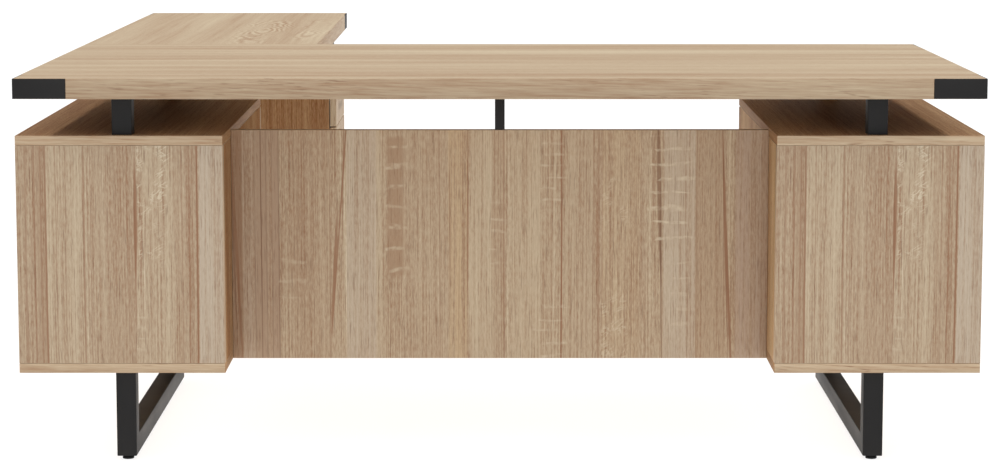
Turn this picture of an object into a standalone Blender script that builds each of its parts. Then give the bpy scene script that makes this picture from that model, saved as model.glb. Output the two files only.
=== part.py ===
"""Corner desk: a main worktop and a return on floating drawer pedestals with sled legs.

The desk stands on Z = 0 with its origin under the centre of its bounding box. The visitor's side
faces -Y, the user sits behind the main worktop on the +Y side, and the return runs back along +Y
from the left end (-X). Each pedestal is built in its own frame under an empty, where X is its width,
+Y is the way its drawers open, and Y = 0 is the outer face of its back panel.
"""

import math

import bmesh
import bpy

# ---- Driving dimensions, in metres ----
MAIN_WIDTH = 1.8288          # main worktop, end to end
MAIN_DEPTH = 0.9144          # main worktop, visitor's edge to user's edge
RETURN_WIDTH = 0.511         # return worktop, outer edge to user's edge
RETURN_LENGTH = 1.1633       # return worktop, from the seam to its far end
DESK_HEIGHT = 0.7366         # floor to the top of the worktops
TOP_THICKNESS = 0.039        # both worktops
BOARD = 0.018                # carcass boards and the modesty panel
JOINT_GAP = 0.0003           # between any two pieces that touch

STANDOFF_HEIGHT = 0.0706     # top of a pedestal to the underside of the worktop
PEDESTAL_HEIGHT = 0.454      # every pedestal; the sled legs take up the height that is left
MAIN_PEDESTAL_WIDTH = 0.392
MAIN_PEDESTAL_DEPTH = 0.812
RETURN_PEDESTAL_WIDTH = 0.338
RETURN_PEDESTAL_DEPTH = 0.503
PEDESTAL_SETBACK = 0.017     # from a worktop's visitor or far edge to the pedestal

ACCENT_LENGTH = 0.100        # corner accent, along each edge
ACCENT_PLATE = 0.002         # corner accent, plate thickness
ACCENT_MARGIN = 0.0005       # worktop left showing above and below an accent

MODESTY_SETBACK = 0.168      # worktop's visitor edge to the modesty panel
MODESTY_DROP = 0.0045        # top of a pedestal to the top of the modesty panel
CENTRE_SUPPORT_WIDTH = 0.019

LEG_TUBE = 0.038             # square steel tube of the legs and standoffs
TUBE_WALL = 0.002
LEG_FROM_SIDE = 0.200        # desk's end to the centre line of a main pedestal's leg
LEG_INSET = 0.016            # pedestal's back or front face to the leg's upright
STANDOFF_BAR = 0.005         # flat bar across the top of a standoff frame
SEAM_TIE_LENGTH = 0.140      # how far the left standoff's bar reaches under the return
GLIDE_RADIUS = 0.011
GLIDE_HEIGHT = 0.008

FRONT_BOARD = 0.016          # drawer front thickness
FRONT_REVEAL = 0.003         # gap around a drawer front
FRONT_BUFFER = 0.002         # closed drawer front to the carcass sides
UPPER_FRONT_HEIGHT = 0.1345  # the lower front takes the rest of the height
DRAWER_WALL = 0.012
DRAWER_FLOOR = 0.009
DRAWER_LIFT = 0.014          # bottom edge of a front to the bottom of its box
DRAWER_DROP = 0.032          # top edge of a front to the rim of its box
DRAWER_BACK_ROOM = 0.029     # back of a drawer box to the pedestal's back board
SLIDE_SPACE = 0.0127         # carcass side to the side of a drawer box

RUNNER_PLATE = 0.0012        # thickness of the steel plate that carries the runners
RUNNER_DEPTH = 0.0112        # plate and runner together
RUNNER_HEIGHT = 0.035
RUNNER_RISE = 0.030          # bottom of a drawer box to the centre of its runner
RUNNER_PLATE_MARGIN = 0.012  # plate beyond its runners, above and below

PULL_LENGTH = 0.170
PULL_BAR = 0.010             # square section of the pull
PULL_REACH = 0.032           # drawer front to the outside of the pull
PULL_DROP = 0.067            # top edge of a front to the pull's centre line

# ---- Values that follow ----
DESK_LEFT = -MAIN_WIDTH / 2
DESK_RIGHT = MAIN_WIDTH / 2
DESK_FRONT = -(MAIN_DEPTH + JOINT_GAP + RETURN_LENGTH) / 2
DESK_BACK = -DESK_FRONT
SEAM = DESK_FRONT + MAIN_DEPTH
RETURN_RIGHT = DESK_LEFT + RETURN_WIDTH
TOP_UNDERSIDE = DESK_HEIGHT - TOP_THICKNESS
PEDESTAL_TOP = TOP_UNDERSIDE - STANDOFF_HEIGHT
PEDESTAL_BOTTOM = PEDESTAL_TOP - PEDESTAL_HEIGHT

OAK = ("pale_oak_laminate", (0.50, 0.36, 0.22), 0.55, 0.0)
DRAWER_OAK = ("drawer_box_laminate", (0.55, 0.43, 0.29), 0.6, 0.0)
BLACK_STEEL = ("black_steel", (0.028, 0.027, 0.028), 0.5, 0.0)
ZINC_STEEL = ("zinc_steel", (0.55, 0.56, 0.58), 0.35, 1.0)
BLACK_PLASTIC = ("black_plastic", (0.02, 0.02, 0.02), 0.6, 0.0)


def clear_scene():
    """Remove every object that the file opened with."""
    for obj in list(bpy.data.objects):
        bpy.data.objects.remove(obj, do_unlink=True)


def material(finish):
    """Return the Principled material of a finish, made the first time it is asked for."""
    name, colour, roughness, metallic = finish
    found = bpy.data.materials.get(name)
    if found:
        return found
    made = bpy.data.materials.new(name)
    made.use_nodes = True
    shader = made.node_tree.nodes["Principled BSDF"]
    shader.inputs["Base Color"].default_value = (*colour, 1.0)
    shader.inputs["Roughness"].default_value = roughness
    shader.inputs["Metallic"].default_value = metallic
    made.diffuse_color = (*colour, 1.0)
    return made


def add_object(name, mesh, finish, location=(0.0, 0.0, 0.0), parent=None):
    """Link a mesh as a named object in its finish, placed in its parent's frame."""
    mesh.materials.append(material(finish))
    obj = bpy.data.objects.new(name, mesh)
    bpy.context.scene.collection.objects.link(obj)
    obj.parent = parent
    obj.location = location
    return obj


def add_empty(name, location, turn=0.0, parent=None):
    """Add a frame for a group of pieces, turned about Z."""
    empty = bpy.data.objects.new(name, None)
    bpy.context.scene.collection.objects.link(empty)
    empty.parent = parent
    empty.location = location
    empty.rotation_euler = (0.0, 0.0, turn)
    return empty


def finish_mesh(name, work):
    """Turn a bmesh into a mesh with its faces pointing out."""
    bmesh.ops.recalc_face_normals(work, faces=work.faces)
    mesh = bpy.data.meshes.new(name)
    work.to_mesh(mesh)
    work.free()
    return mesh


def block(name, low, high, finish, parent=None):
    """Add a rectangular board between two opposite corners, with its origin at its centre."""
    size = [top - bottom for bottom, top in zip(low, high)]
    centre = [(top + bottom) / 2 for bottom, top in zip(low, high)]
    work = bmesh.new()
    bmesh.ops.create_cube(work, size=1.0)
    bmesh.ops.scale(work, vec=size, verts=work.verts)
    return add_object(name, finish_mesh(name, work), finish, centre, parent)


def prism(name, outline, along, finish, location=(0.0, 0.0, 0.0), parent=None):
    """Add the solid swept by a flat outline of 3-D points along one vector."""
    work = bmesh.new()
    face = work.faces.new([work.verts.new(point) for point in outline])
    swept = bmesh.ops.extrude_face_region(work, geom=[face])
    moved = [item for item in swept["geom"] if isinstance(item, bmesh.types.BMVert)]
    bmesh.ops.translate(work, vec=along, verts=moved)
    return add_object(name, finish_mesh(name, work), finish, location, parent)


def rebated_corner(corner, inward_x, inward_y):
    """Outline of a worktop corner with room for an accent, from its X edge round to its Y edge."""
    depth = ACCENT_PLATE + JOINT_GAP
    reach = ACCENT_LENGTH + JOINT_GAP
    x, y = corner
    return [
        (x + inward_x * reach, y),
        (x + inward_x * reach, y + inward_y * depth),
        (x + inward_x * depth, y + inward_y * depth),
        (x + inward_x * depth, y + inward_y * reach),
        (x, y + inward_y * reach),
    ]


def worktop(name, outline):
    """Add a worktop from its outline seen from above."""
    flat = [(x, y, TOP_UNDERSIDE) for x, y in outline]
    return prism(name, flat, (0.0, 0.0, TOP_THICKNESS), OAK)


def accent(name, corner, inward_x, inward_y):
    """Add the folded steel plate that is let into a worktop's corner."""
    x, y = corner
    outline = [
        (0.0, 0.0),
        (inward_x * ACCENT_LENGTH, 0.0),
        (inward_x * ACCENT_LENGTH, inward_y * ACCENT_PLATE),
        (inward_x * ACCENT_PLATE, inward_y * ACCENT_PLATE),
        (inward_x * ACCENT_PLATE, inward_y * ACCENT_LENGTH),
        (0.0, inward_y * ACCENT_LENGTH),
    ]
    height = TOP_THICKNESS - 2 * ACCENT_MARGIN
    flat = [(px, py, 0.0) for px, py in outline]
    place = (x, y, TOP_UNDERSIDE + ACCENT_MARGIN)
    return prism(name, flat, (0.0, 0.0, height), BLACK_STEEL, place)


def worktops():
    """Both worktops and their five corner accents. The main worktop has none at the seam."""
    front_left = (DESK_LEFT, DESK_FRONT)
    front_right = (DESK_RIGHT, DESK_FRONT)
    back_right = (DESK_RIGHT, SEAM)
    return_left = (DESK_LEFT, DESK_BACK)
    return_right = (RETURN_RIGHT, DESK_BACK)
    main_outline = rebated_corner(front_left, 1, 1)[::-1]
    main_outline += rebated_corner(front_right, -1, 1)
    main_outline += rebated_corner(back_right, -1, -1)[::-1]
    main_outline += [(DESK_LEFT, SEAM)]
    return_outline = [(DESK_LEFT, SEAM + JOINT_GAP), (RETURN_RIGHT, SEAM + JOINT_GAP)]
    return_outline += rebated_corner(return_right, -1, -1)[::-1]
    return_outline += rebated_corner(return_left, 1, -1)
    worktop("main_top", main_outline)
    worktop("return_top", return_outline)
    accent("accent_front_left", front_left, 1, 1)
    accent("accent_front_right", front_right, -1, 1)
    accent("accent_back_right", back_right, -1, -1)
    accent("accent_return_left", return_left, 1, -1)
    accent("accent_return_right", return_right, -1, -1)


def modesty():
    """The panel between the main pedestals and the slim post that stands on it."""
    half_space = MAIN_WIDTH / 2 - MAIN_PEDESTAL_WIDTH - JOINT_GAP
    near = DESK_FRONT + MODESTY_SETBACK
    top = PEDESTAL_TOP - MODESTY_DROP
    block("modesty_panel", (-half_space, near, PEDESTAL_BOTTOM),
          (half_space, near + BOARD, top), OAK)
    half_post = CENTRE_SUPPORT_WIDTH / 2
    block("centre_support", (-half_post, near, top + JOINT_GAP),
          (half_post, near + BOARD, TOP_UNDERSIDE - JOINT_GAP), BLACK_STEEL)


def cut_away(obj, low, high):
    """Cut a rectangular block out of an object."""
    cutter = block("cutter", low, high, BLACK_STEEL)
    change = obj.modifiers.new("cut", "BOOLEAN")
    change.operation = "DIFFERENCE"
    change.solver = "EXACT"
    change.object = cutter
    bpy.context.view_layer.update()
    evaluated = obj.evaluated_get(bpy.context.evaluated_depsgraph_get())
    carved = bpy.data.meshes.new_from_object(evaluated)
    obj.modifiers.remove(change)
    obj.data = carved
    bpy.data.objects.remove(cutter, do_unlink=True)


def sled_leg(name, near, far, across, parent):
    """Add a U of square tube: an upright, a floor rail and an upright, mitred and open at the tops."""
    floor = GLIDE_HEIGHT + JOINT_GAP
    top = PEDESTAL_BOTTOM - JOINT_GAP
    rings = []
    work = bmesh.new()
    for margin in (0.0, TUBE_WALL):
        outside = margin
        inside = LEG_TUBE - margin
        path = [
            (near + outside, top, near + inside, top),
            (near + outside, floor + outside, near + inside, floor + inside),
            (far - outside, floor + outside, far - inside, floor + inside),
            (far - outside, top, far - inside, top),
        ]
        half = LEG_TUBE / 2 - margin
        stations = []
        for outer_y, outer_z, inner_y, inner_z in path:
            corners = [
                (across - half, outer_y, outer_z),
                (across + half, outer_y, outer_z),
                (across + half, inner_y, inner_z),
                (across - half, inner_y, inner_z),
            ]
            stations.append([work.verts.new(corner) for corner in corners])
        rings.append(stations)
    for stations in rings:
        for first, second in zip(stations, stations[1:]):
            for side in range(4):
                after = (side + 1) % 4
                work.faces.new((first[side], first[after], second[after], second[side]))
    for end in (0, -1):
        for side in range(4):
            after = (side + 1) % 4
            outer, inner = rings[0][end], rings[1][end]
            work.faces.new((outer[side], outer[after], inner[after], inner[side]))
    return add_object(name, finish_mesh(name, work), BLACK_STEEL, parent=parent)


def glide(name, across, along, parent):
    """Add a round levelling glide with its origin on its screw's axis, at the floor."""
    work = bmesh.new()
    bmesh.ops.create_cone(work, cap_ends=True, segments=32, radius1=GLIDE_RADIUS,
                          radius2=GLIDE_RADIUS, depth=GLIDE_HEIGHT)
    bmesh.ops.translate(work, vec=(0.0, 0.0, GLIDE_HEIGHT / 2), verts=work.verts)
    made = add_object(name, finish_mesh(name, work), BLACK_PLASTIC, (across, along, 0.0), parent)
    made.data.shade_smooth()
    made.data.set_sharp_from_angle(angle=math.radians(40))
    return made


def standoff(name, near, far, across, reach, parent):
    """Add two short tubes under a flat bar, which hold the worktop clear of a pedestal.

    The bar reaches past the far tube, so that it can carry a second worktop across a seam.
    """
    half = LEG_TUBE / 2
    top = TOP_UNDERSIDE - JOINT_GAP
    foot = PEDESTAL_TOP + JOINT_GAP
    shoulder = top - STANDOFF_BAR
    outline = [
        (near, foot), (near + LEG_TUBE, foot), (near + LEG_TUBE, shoulder),
        (far - LEG_TUBE, shoulder), (far - LEG_TUBE, foot), (far, foot),
    ]
    if reach > 0.0:
        outline += [(far, shoulder), (far + reach, shoulder), (far + reach, top)]
    else:
        outline += [(far, top)]
    outline += [(near, top)]
    flat = [(-half, y, z) for y, z in outline]
    made = prism(name, flat, (LEG_TUBE, 0.0, 0.0), BLACK_STEEL)
    bore = half - TUBE_WALL
    for start in (near, far - LEG_TUBE):
        cut_away(made, (-bore, start + TUBE_WALL, foot - BOARD),
                 (bore, start + LEG_TUBE - TUBE_WALL, shoulder))
    made.location = (across, 0.0, 0.0)
    made.parent = parent
    return made


def drawer_box(name, half_width, low_y, high_y, low_z, height, parent):
    """Add an open-topped drawer box of even walls with its floor flush underneath."""
    low = (-half_width, low_y, low_z)
    high = (half_width, high_y, low_z + height)
    made = block(name, low, high, DRAWER_OAK, parent)
    work = bmesh.new()
    work.from_mesh(made.data)
    lid = max(work.faces, key=lambda face: face.calc_center_median().z)
    bmesh.ops.inset_region(work, faces=[lid], thickness=DRAWER_WALL, use_even_offset=True)
    sunk = bmesh.ops.extrude_face_region(work, geom=[lid])
    moved = [item for item in sunk["geom"] if isinstance(item, bmesh.types.BMVert)]
    bmesh.ops.translate(work, vec=(0.0, 0.0, DRAWER_FLOOR - height), verts=moved)
    bmesh.ops.delete(work, geom=[lid], context="FACES")
    bmesh.ops.recalc_face_normals(work, faces=work.faces)
    work.to_mesh(made.data)
    work.free()
    return made


def pull(name, face_y, centre_z, parent):
    """Add a square bar pull with a foot at each end, seen from above as a shallow U."""
    half = PULL_LENGTH / 2
    near = face_y + JOINT_GAP
    far = face_y + PULL_REACH
    outline = [
        (-half, near), (-half + PULL_BAR, near), (-half + PULL_BAR, far - PULL_BAR),
        (half - PULL_BAR, far - PULL_BAR), (half - PULL_BAR, near), (half, near),
        (half, far), (-half, far),
    ]
    flat = [(x, y, -PULL_BAR / 2) for x, y in outline]
    place = (0.0, 0.0, centre_z)
    return prism(name, flat, (0.0, 0.0, PULL_BAR), BLACK_STEEL, place, parent)


def drawer(name, width, depth, length, front_low, front_high, pedestal):
    """Add one drawer: its front, its box and its pull, under an empty that slides along its Y."""
    slider = add_empty(name + "_slide", (0.0, 0.0, 0.0), parent=pedestal)
    face = depth - FRONT_BOARD
    block(name + "_front", (-width / 2, face, front_low),
          (width / 2, depth, front_high), OAK, slider)
    half_box = width / 2 - BOARD - SLIDE_SPACE
    box_back = face - JOINT_GAP
    box_low = front_low + DRAWER_LIFT
    box_height = front_high - DRAWER_DROP - box_low
    drawer_box(name + "_box", half_box, box_back - length, box_back, box_low, box_height, slider)
    pull(name + "_pull", depth, front_high - PULL_DROP, slider)


def runner_plate(name, side, width, depth, length, box_bottoms, pedestal):
    """Add the steel plate on a carcass side, with one raised runner beside each drawer box."""
    base = width / 2 - BOARD - JOINT_GAP
    floor = base - RUNNER_PLATE
    raised = base - RUNNER_DEPTH
    centres = [bottom + RUNNER_RISE for bottom in sorted(box_bottoms)]
    low = centres[0] - RUNNER_HEIGHT / 2 - RUNNER_PLATE_MARGIN
    high = centres[-1] + RUNNER_HEIGHT / 2 + RUNNER_PLATE_MARGIN
    outline = [(base, high), (base, low), (floor, low)]
    for centre in centres:
        bottom = centre - RUNNER_HEIGHT / 2
        top = centre + RUNNER_HEIGHT / 2
        outline += [(floor, bottom), (raised, bottom), (raised, top), (floor, top)]
    outline += [(floor, high)]
    end = depth - FRONT_BOARD - FRONT_BUFFER
    flat = [(side * x, end - length, z) for x, z in outline]
    return prism(name, flat, (0.0, length, 0.0), ZINC_STEEL, parent=pedestal)


def carcass(name, width, depth, pedestal):
    """Add the five boards of a pedestal: top, bottom, back between them, and two sides."""
    half = width / 2
    low = PEDESTAL_BOTTOM
    high = PEDESTAL_TOP
    inner_low = low + BOARD + JOINT_GAP
    inner_high = high - BOARD - JOINT_GAP
    block(name + "_pedestal_top", (-half, 0.0, high - BOARD), (half, depth, high), OAK, pedestal)
    block(name + "_pedestal_bottom", (-half, 0.0, low), (half, depth, low + BOARD), OAK, pedestal)
    block(name + "_pedestal_back", (-half, 0.0, inner_low), (half, BOARD, inner_high), OAK, pedestal)
    side_near = BOARD + JOINT_GAP
    side_far = depth - FRONT_BOARD - FRONT_BUFFER
    block(name + "_pedestal_side_a", (-half, side_near, inner_low),
          (-half + BOARD, side_far, inner_high), OAK, pedestal)
    block(name + "_pedestal_side_b", (half - BOARD, side_near, inner_low),
          (half, side_far, inner_high), OAK, pedestal)


def pedestal(name, place, turn, width, depth, leg_shift, bar_reach):
    """Add a whole pedestal: carcass, runners, two drawers, sled leg, glides and standoff."""
    frame = add_empty(name + "_pedestal", place, turn)
    carcass(name, width, depth, frame)
    drawer_length = depth - FRONT_BOARD - BOARD - DRAWER_BACK_ROOM
    lowest = PEDESTAL_BOTTOM + BOARD + FRONT_REVEAL
    highest = PEDESTAL_TOP - BOARD - FRONT_REVEAL
    split = highest - UPPER_FRONT_HEIGHT
    drawer(name + "_upper_drawer", width, depth, drawer_length, split, highest, frame)
    drawer(name + "_lower_drawer", width, depth, drawer_length, lowest, split - FRONT_REVEAL,
           frame)
    box_bottoms = (split + DRAWER_LIFT, lowest + DRAWER_LIFT)
    for side, letter in ((-1, "a"), (1, "b")):
        runner_plate(name + "_runner_plate_" + letter, side, width, depth, drawer_length,
                     box_bottoms, frame)
    near = LEG_INSET
    far = depth - LEG_INSET
    sled_leg(name + "_sled_leg", near, far, leg_shift, frame)
    glide(name + "_glide_back", leg_shift, near + LEG_TUBE / 2, frame)
    glide(name + "_glide_front", leg_shift, far - LEG_TUBE / 2, frame)
    standoff(name + "_standoff", near, far, leg_shift, bar_reach, frame)


def pedestals():
    """The two main pedestals open towards the user, and the return's opens along +X."""
    main_centre = MAIN_WIDTH / 2 - MAIN_PEDESTAL_WIDTH / 2
    main_leg_shift = MAIN_PEDESTAL_WIDTH / 2 - LEG_FROM_SIDE
    main_back = DESK_FRONT + PEDESTAL_SETBACK
    far_upright = main_back + MAIN_PEDESTAL_DEPTH - LEG_INSET
    seam_reach = SEAM + SEAM_TIE_LENGTH - far_upright
    pedestal("left", (-main_centre, main_back, 0.0), 0.0, MAIN_PEDESTAL_WIDTH,
             MAIN_PEDESTAL_DEPTH, -main_leg_shift, seam_reach)
    pedestal("right", (main_centre, main_back, 0.0), 0.0, MAIN_PEDESTAL_WIDTH,
             MAIN_PEDESTAL_DEPTH, main_leg_shift, 0.0)
    return_centre = DESK_BACK - PEDESTAL_SETBACK - RETURN_PEDESTAL_WIDTH / 2
    pedestal("return", (DESK_LEFT, return_centre, 0.0), -math.pi / 2, RETURN_PEDESTAL_WIDTH,
             RETURN_PEDESTAL_DEPTH, 0.0, 0.0)


def main():
    clear_scene()
    worktops()
    modesty()
    pedestals()


main()
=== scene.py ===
import math

import bpy
import numpy as np
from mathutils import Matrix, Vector


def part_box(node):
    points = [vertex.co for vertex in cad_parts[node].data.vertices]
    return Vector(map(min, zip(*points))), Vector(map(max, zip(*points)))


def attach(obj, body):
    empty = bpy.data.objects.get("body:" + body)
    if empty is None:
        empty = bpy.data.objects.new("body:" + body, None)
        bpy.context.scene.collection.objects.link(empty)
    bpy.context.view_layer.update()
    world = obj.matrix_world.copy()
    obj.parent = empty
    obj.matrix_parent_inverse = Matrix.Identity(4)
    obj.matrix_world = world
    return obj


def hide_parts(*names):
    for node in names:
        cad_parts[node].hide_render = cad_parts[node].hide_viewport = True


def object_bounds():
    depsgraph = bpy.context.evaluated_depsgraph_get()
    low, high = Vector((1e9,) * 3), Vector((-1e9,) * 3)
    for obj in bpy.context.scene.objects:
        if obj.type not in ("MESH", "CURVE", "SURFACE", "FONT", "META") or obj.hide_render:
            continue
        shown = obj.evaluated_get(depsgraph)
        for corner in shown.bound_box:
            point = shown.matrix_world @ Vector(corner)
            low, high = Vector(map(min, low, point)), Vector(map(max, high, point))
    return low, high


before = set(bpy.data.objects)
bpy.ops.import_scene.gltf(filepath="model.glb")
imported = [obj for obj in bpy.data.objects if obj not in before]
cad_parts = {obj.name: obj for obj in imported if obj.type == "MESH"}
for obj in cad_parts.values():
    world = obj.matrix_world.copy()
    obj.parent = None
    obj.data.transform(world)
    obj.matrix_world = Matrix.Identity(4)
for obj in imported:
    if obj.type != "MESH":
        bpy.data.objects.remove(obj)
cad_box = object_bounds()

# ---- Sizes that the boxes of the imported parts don't give, in metres ----
GAP = 0.0003             # between pieces that touch
ACCENT_PLATE = 0.002     # plate of a corner accent
TUBE_CORNER = 0.0020     # outside corner radius of the square tube
STANDOFF_BAR = 0.005     # flat bar over a standoff's two tubes
PULL_CORNER = 0.0011     # corner radius of a pull's square bar
DRAWER_WALL = 0.012      # sides, back and front of a drawer box
DRAWER_FLOOR = 0.009
PLATE = 0.0012           # runner plate
PLATE_MARGIN = 0.012     # plate beyond its runners
RUNNER_SPAN = 0.0112     # plate and runner together
RUNNER_TALL = 0.035
RUNNER_STEEL = 0.0012    # sheet that a runner is folded from
RUNNER_LIP = 0.0045      # each of a runner's two folded lips
RAIL_STEEL = 0.0009      # flange of a drawer's rail
RAIL_FLANGE = 0.0145     # from a rail's middle to the edge of its flange
RAIL_TONGUE = 0.0085     # from a rail's middle to its tongue's edge, and the tongue's reach
RAIL_SHORT_BACK = 0.004  # by how much a rail stops short of its box
RAIL_SHORT_FRONT = 0.002

# Rounding of the edges between two faces, and radius of the outline's corners.
WORKTOP_EDGE = (0.0010, 0.0013)
BOARD_EDGE = (0.0007, 0.00091)
BOX_EDGE = (0.0005, 0.0008)
ACCENT_EDGE = (0.0005, 0.0009)
POST_EDGE = (0.0006, 0.0015)
BAR_EDGE = (0.0004, 0.0020)
PLATE_EDGE = (0.0002, 0.0030)
RUNNER_EDGE = (0.0002, 0.0003)

# Half profiles of turned parts, as (radius, height). A screw's last two rows are its socket.
PULL_SCREW = ((0.0046, 0.0), (0.0046, 0.0006), (0.0040, 0.0016), (0.0024, 0.0022),
              (0.0016, 0.0022), (0.0015, 0.0012))
PLATE_SCREW = ((0.0042, 0.0), (0.0042, 0.0005), (0.0036, 0.0013), (0.0022, 0.0018),
               (0.0015, 0.0018), (0.0014, 0.0010))
SCREW_PLACES = (0.06, 0.35, 0.65, 0.94)  # along a runner plate, as shares of its length
# A glide's, as shares of its radius and height: domed foot, hexagonal collar, end of the screw.
GLIDE_PROFILE = ((0.80, 0.0), (0.95, 0.03), (1.0, 0.11), (1.0, 0.40), (0.96, 0.49), (0.84, 0.54),
                 (0.68, 0.55), (0.68, 0.90), (0.64, 0.94), (0.34, 0.95), (0.34, 1.0))
GLIDE_COLLAR = (6, 7, 8)  # rows of the profile that are hexagonal

SCENE = bpy.context.scene
AXES = {"X": 0, "Y": 1, "Z": 2}
ACROSS = {"X": "Y", "Y": "X"}  # across a pedestal, for the way its drawers open
UP = np.array((0.0, 0.0, 1.0))
RIM_SHIFT = (3.7, 1.9)   # how much further than its faces a board's rim is shifted
SHARP = math.radians(35)  # edges between faces that turn more than this stay sharp
QUARTER = np.linspace(0.0, math.pi / 2, 4)  # angles round an edge or a corner


# ---- Shapes ----

def counterclockwise(corners):
    """The same corners, in the order that runs anticlockwise (a positive sum of x1 y2 - x2 y1)."""
    corners = np.asarray(corners, float)
    after = np.roll(corners, -1, axis=0)
    area = np.sum(corners[:, 0] * after[:, 1] - after[:, 0] * corners[:, 1])
    return corners if area > 0 else corners[::-1]


def rounded_outline(corners, radius):
    """Points round a right-angled outline, and the way each point moves as the outline shrinks.

    A corner that points out is a quarter circle: corner + radius (n1 + n2) - radius u, where n1 and
    n2 are the inward normals of the two edges and u = n1 cos a + n2 sin a, a from 0 to 90 degrees.
    It moves along u. A corner that points in stays sharp and moves along n1 + n2.
    """
    corners = counterclockwise(corners)
    edges = np.roll(corners, -1, axis=0) - corners
    edges /= np.linalg.norm(edges, axis=1, keepdims=True)
    before = np.roll(edges, 1, axis=0)
    normal_after = np.column_stack((-edges[:, 1], edges[:, 0]))
    normal_before = np.column_stack((-before[:, 1], before[:, 0]))
    turn = before[:, 0] * edges[:, 1] - before[:, 1] * edges[:, 0]
    angle = QUARTER[:, None]
    base, inward = [], []
    for corner, first, second, bend in zip(corners, normal_before, normal_after, turn):
        if bend > 0.0:
            towards = np.cos(angle) * first + np.sin(angle) * second
            base.append(corner + radius * (first + second) - radius * towards)
            inward.append(towards)
        else:
            base.append(corner[None])
            inward.append((first + second)[None])
    return np.vstack(base), np.vstack(inward)


def edge_profile(thickness, rounding):
    """Inset r (1 - sin a) and height r (1 - cos a) up a board's edge, a straight side, and back."""
    inset = rounding * (1.0 - np.sin(QUARTER))
    height = rounding * (1.0 - np.cos(QUARTER))
    return np.append(inset, inset[::-1]), np.append(height, thickness - height[::-1])


def closed_mesh(name, points, grain=None, band=None):
    """A mesh from a grid of points (level, column, xyz), its rings joined and its ends closed.

    grain gives the caps their (along, across) map, and band the rings theirs, both in metres.
    """
    levels, count = points.shape[:2]
    level, column = (grid.reshape(-1, 1) for grid in np.indices((levels - 1, count)))
    level, column = level + [0, 0, 1, 1], column + [0, 1, 1, 0]      # each quad's four corners
    quads = level * count + column % count
    foot = np.arange(count)[::-1]
    head = np.arange(count) + (levels - 1) * count
    faces = quads.tolist() + [foot.tolist(), head.tolist()]
    mesh = bpy.data.meshes.new(name)
    mesh.from_pydata(points.reshape(-1, 3).tolist(), [], faces)
    rings = len(quads)
    slots = np.zeros(rings + 2, np.int32)
    smooth = np.ones(rings + 2, bool)
    smooth[rings:] = False
    if band is not None:
        slots[:rings] = 1
        ring_map = np.stack((band[0][column], band[1][level]), axis=-1).reshape(-1, 2)
        flat = grain.reshape(-1, 2)
        layer = mesh.uv_layers.new(name="grain")
        layer.data.foreach_set("uv", np.vstack((ring_map, flat[foot], flat[head])).ravel())
    mesh.polygons.foreach_set("material_index", slots)
    mesh.polygons.foreach_set("use_smooth", smooth)
    mesh.update()
    return mesh


def piece(name, mesh, body, finishes, nodes=()):
    """Link a mesh as a piece of the desk that rides on a body, in its finishes."""
    for finish in finishes:
        mesh.materials.append(finish)
    made = bpy.data.objects.new(name, mesh)
    SCENE.collection.objects.link(made)
    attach(made, body)
    if nodes:
        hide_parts(*nodes)


def slab_mesh(name, corners, low, high, axis, grain, edge, shift=(0.0, 0.0)):
    """A board: its outline, drawn in at each level by the edge profile, stacked along an axis.

    Point = outline + inset(level) * inward, at height(level). The outline's two numbers are the
    axes that follow the thickness axis in the order X, Y, Z, X, so that faces always point out. The
    caps map metres along and across the grain from the board's own low corner, and the rim maps
    metres round the outline and up the edge. edge is (rounding, corner radius). shift moves the
    grain, so that no two boards are cut alike.
    """
    rounding, radius = edge
    base, inward = rounded_outline(corners, radius)
    inset, height = edge_profile(high - low, rounding)
    flat = base + inset[:, None, None] * inward
    level = np.broadcast_to((height + low)[:, None, None], flat.shape[:2] + (1,))
    thick = AXES[axis]
    points = np.roll(np.concatenate((flat, level), axis=2), thick + 1, axis=2)
    along = AXES[grain]
    across = ({0, 1, 2} - {thick, along}).pop()
    start = points.reshape(-1, 3).min(axis=0)
    cap_map = points[..., [along, across]] - start[[along, across]] + np.asarray(shift)
    steps = np.linalg.norm(np.diff(np.vstack((base, base[:1])), axis=0), axis=1)
    round_it = np.append(0.0, np.cumsum(steps)) + RIM_SHIFT[0] * shift[0]
    return closed_mesh(name, points, cap_map, (round_it, height + RIM_SHIFT[1] * shift[1]))


def rectangle(low, high, axis):
    """A box's outline seen along an axis, as the two axes that follow it."""
    thick = AXES[axis]
    first, second = (thick + 1) % 3, (thick + 2) % 3
    a, b, c, d = low[first], low[second], high[first], high[second]
    return [(a, b), (c, b), (c, d), (a, d)]


def board(name, low, high, axis, grain, body, finishes, nodes=(), shift=(0.0, 0.0),
          edge=BOARD_EDGE):
    """A rectangular board between two corners, with rounded edges."""
    thick = AXES[axis]
    mesh = slab_mesh(name, rectangle(low, high, axis), low[thick], high[thick], axis, grain, edge,
                     shift)
    piece(name, mesh, body, finishes, nodes)


def swept_mesh(name, section, path, side):
    """A section carried along a flat path: path + p side + q mitre for each (p, q) of the section.

    side is the normal of the path's plane. With m = direction x side before and after a point,
    mitre = (m1 + m2) / (1 + m1 . m2), which keeps the section's width through a square bend.
    """
    path, side = np.asarray(path, float), np.asarray(side, float)
    run = np.diff(path, axis=0)
    run /= np.linalg.norm(run, axis=1, keepdims=True)
    across = np.cross(run, side)
    first = np.vstack((across[:1], across))
    second = np.vstack((across, across[-1:]))
    mitre = (first + second) / (1.0 + np.sum(first * second, axis=1, keepdims=True))
    points = path[:, None] + section[:, :1] * side + section[:, 1:] * mitre[:, None]
    mesh = closed_mesh(name, points)
    mesh.set_sharp_from_angle(angle=SHARP)
    return mesh


def rounded_square(side, radius):
    """A square section with rounded corners, centred on 0, 0."""
    half = side / 2
    return rounded_outline([(-half, -half), (half, -half), (half, half), (-half, half)], radius)[0]


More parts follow.
